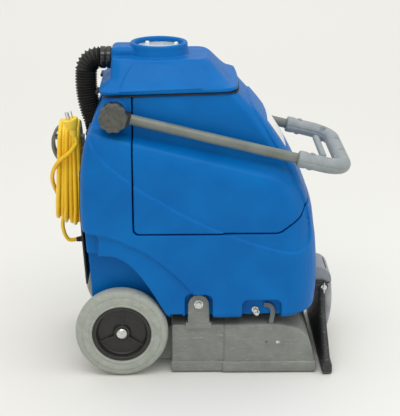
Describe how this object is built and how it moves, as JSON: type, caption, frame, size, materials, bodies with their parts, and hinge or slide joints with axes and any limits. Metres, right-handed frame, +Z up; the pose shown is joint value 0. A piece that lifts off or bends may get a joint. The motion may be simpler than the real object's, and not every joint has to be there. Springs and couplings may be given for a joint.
{
  "type": "carpet cleaner",
  "caption": "Self-contained walk-behind carpet extractor: blue tanks under a domed lid, folding handle, brush deck, front vacuum shoe, rear wheels and a cord on a rear hook.",
  "frame": {"origin": "on the floor, midway along the machine's length from the cord hook to the grip and midway between the wheels", "axes": "+X forward, from the wheels towards the vacuum shoe; +Y to the machine's left; +Z up"},
  "size_m": [0.6463, 0.344, 0.713],
  "materials": {
    "rotomoulded_blue": "rotomoulded polyethylene, fine orange-peel skin",
    "deck_grey": "structural foam, coarse grain",
    "dark_grey": "moulded plastic, fine grain",
    "tube_grey": "grey powder coat on steel tube",
    "grip_grey": "moulded grip, fine grain",
    "black_plastic": "black moulded plastic",
    "hose_black": "black corrugated hose",
    "tyre_grey": "grey non-marking rubber",
    "steel": "zinc plated steel",
    "cord_yellow": "yellow cord jacket",
    "window_clear": "frosted clear polycarbonate",
    "bristle": "nylon bristle",
    "switch_red": "red rocker",
    "white_plastic": "white moulded plastic"
  },
  "bodies": {
    "base": {"base_tank": "rotomoulded_blue", "recovery_tank": "rotomoulded_blue", "lid_gasket": "hose_black", "lid_hinge_left": "steel", "lid_hinge_right": "steel", "base_cuff": "black_plastic", "vacuum_hose": "hose_black", "axle": "steel", "axle_cap_left": "steel", "axle_cap_right": "steel", "deck_pivot_bolt_left": "steel", "deck_pivot_bolt_right": "steel", "lift_stud_left": "steel", "lift_stud_right": "steel", "shoe_bracket_left": "dark_grey", "shoe_bracket_right": "dark_grey", "shoe_duct": "dark_grey", "rear_panel": "black_plastic", "cord_hook": "tube_grey", "strain_relief": "black_plastic", "cord_lead": "cord_yellow", "cord_tail": "cord_yellow", "cord_hank": "cord_yellow", "plug": "cord_yellow", "vacuum_motor": "black_plastic", "solution_pump": "black_plastic", "solution_tank": "dark_grey"},
    "left_wheel": {"tyre_left": "tyre_grey", "wheel_hub_left": "black_plastic"},
    "right_wheel": {"tyre_right": "tyre_grey", "wheel_hub_right": "black_plastic"},
    "lid": {"dome_lid": "rotomoulded_blue", "lid_window": "window_clear", "lid_cuff": "black_plastic", "float_cage": "dark_grey"},
    "float": {"float_ball": "white_plastic"},
    "handle": {"handle_bracket_left": "dark_grey", "handle_bracket_right": "dark_grey", "handle_tube_left": "tube_grey", "handle_tube_right": "tube_grey", "grip": "grip_grey"},
    "left_clamp": {"clamp_knob_left": "dark_grey"},
    "right_clamp": {"clamp_knob_right": "dark_grey"},
    "trigger": {"trigger_bar": "grip_grey"},
    "deck": {"brush_housing": "deck_grey", "brush_motor": "black_plastic", "spray_bar": "black_plastic", "drive_belt": "hose_black"},
    "brush": {"brush_roller": "bristle"},
    "motor_shaft": {"motor_pulley": "steel"},
    "left_hook": {"lift_hook_left": "tube_grey"},
    "right_hook": {"lift_hook_right": "tube_grey"},
    "shoe": {"vac_shoe": "dark_grey"},
    "left_shoe_knob": {"shoe_knob_left": "steel"},
    "right_shoe_knob": {"shoe_knob_right": "steel"},
    "vacuum_rocker": {"vacuum_switch": "switch_red"},
    "pump_rocker": {"pump_switch": "black_plastic"},
    "brush_rocker": {"brush_switch": "black_plastic"},
    "breaker": {"breaker_button": "black_plastic"},
    "filler_cap": {"solution_cap": "black_plastic"}
  },
  "joints": [
    {"name": "left_wheel_spin", "type": "hinge", "parent": "base", "child": "left_wheel", "pos_m": [-0.1712, 0.151, 0.1016], "axis": [0, 1, 0], "continuous": true},
    {"name": "right_wheel_spin", "type": "hinge", "parent": "base", "child": "right_wheel", "pos_m": [-0.1712, -0.151, 0.1016], "axis": [0, 1, 0], "continuous": true},
    {"name": "lid_open", "type": "hinge", "parent": "base", "child": "lid", "pos_m": [-0.2137, 0, 0.6245], "axis": [0, 1, 0], "range_deg": [-65, 0], "deforming": ["vacuum_hose"]},
    {"name": "float_rise", "type": "slide", "parent": "lid", "child": "float", "axis": [0, 0, 1], "range_m": [0, 0.035]},
    {"name": "handle_fold", "type": "hinge", "parent": "base", "child": "handle", "pos_m": [-0.1787, 0, 0.586], "axis": [0, 1, 0], "range_deg": [-150, 0]},
    {"name": "left_clamp_turn", "type": "hinge", "parent": "base", "child": "left_clamp", "pos_m": [-0.1787, 0.161, 0.586], "axis": [0, 1, 0], "continuous": true},
    {"name": "right_clamp_turn", "type": "hinge", "parent": "base", "child": "right_clamp", "pos_m": [-0.1787, -0.161, 0.586], "axis": [0, 1, 0], "continuous": true},
    {"name": "trigger_squeeze", "type": "slide", "parent": "handle", "child": "trigger", "axis": [0.9707, 0, -0.2402], "range_m": [0, 0.012], "stiffness_N_per_m": 600},
    {"name": "deck_lift", "type": "hinge", "parent": "base", "child": "deck", "pos_m": [-0.0032, 0, 0.166], "axis": [0, 1, 0], "range_deg": [-4, 0]},
    {"name": "brush_spin", "type": "hinge", "parent": "deck", "child": "brush", "pos_m": [0.1788, 0, 0.049], "axis": [0, 1, 0], "continuous": true},
    {"name": "motor_spin", "type": "hinge", "parent": "deck", "child": "motor_shaft", "pos_m": [0.0638, 0.128, 0.176], "axis": [0, 1, 0], "continuous": true},
    {"name": "shoe_swing", "type": "hinge", "parent": "base", "child": "shoe", "pos_m": [0.2818, 0, 0.16], "axis": [0, 1, 0], "range_deg": [-8, 0]},
    {"name": "left_shoe_knob_turn", "type": "hinge", "parent": "base", "child": "left_shoe_knob", "pos_m": [0.2818, 0.056, 0.16], "axis": [0, 1, 0], "continuous": true},
    {"name": "right_shoe_knob_turn", "type": "hinge", "parent": "base", "child": "right_shoe_knob", "pos_m": [0.2818, -0.056, 0.16], "axis": [0, 1, 0], "continuous": true},
    {"name": "left_hook_swing", "type": "hinge", "parent": "deck", "child": "left_hook", "pos_m": [0.1558, 0.157, 0.1], "axis": [0, 1, 0], "range_deg": [-6, 8]},
    {"name": "right_hook_swing", "type": "hinge", "parent": "deck", "child": "right_hook", "pos_m": [0.1558, -0.157, 0.1], "axis": [0, 1, 0], "range_deg": [-6, 8]},
    {"name": "vacuum_switch_rock", "type": "hinge", "parent": "base", "child": "vacuum_rocker", "pos_m": [-0.2564, 0.088, 0.35], "axis": [0, 1, 0], "range_deg": [0, 12]},
    {"name": "pump_switch_rock", "type": "hinge", "parent": "base", "child": "pump_rocker", "pos_m": [-0.257, 0.088, 0.39], "axis": [0, 1, 0], "range_deg": [0, 12]},
    {"name": "brush_switch_rock", "type": "hinge", "parent": "base", "child": "brush_rocker", "pos_m": [-0.2558, 0.088, 0.43], "axis": [0, 1, 0], "range_deg": [0, 12]},
    {"name": "breaker_press", "type": "slide", "parent": "base", "child": "breaker", "axis": [1, 0, 0], "range_m": [0, 0.0025], "stiffness_N_per_m": 400},
    {"name": "filler_cap_turn", "type": "hinge", "parent": "base", "child": "filler_cap", "pos_m": [-0.1712, 0.07, 0.619], "axis": [0, 0, 1], "continuous": true}
  ],
  "couplings": [
    {"joint": "motor_spin", "follows": "brush_spin", "ratio": 1.8571}
  ]
}
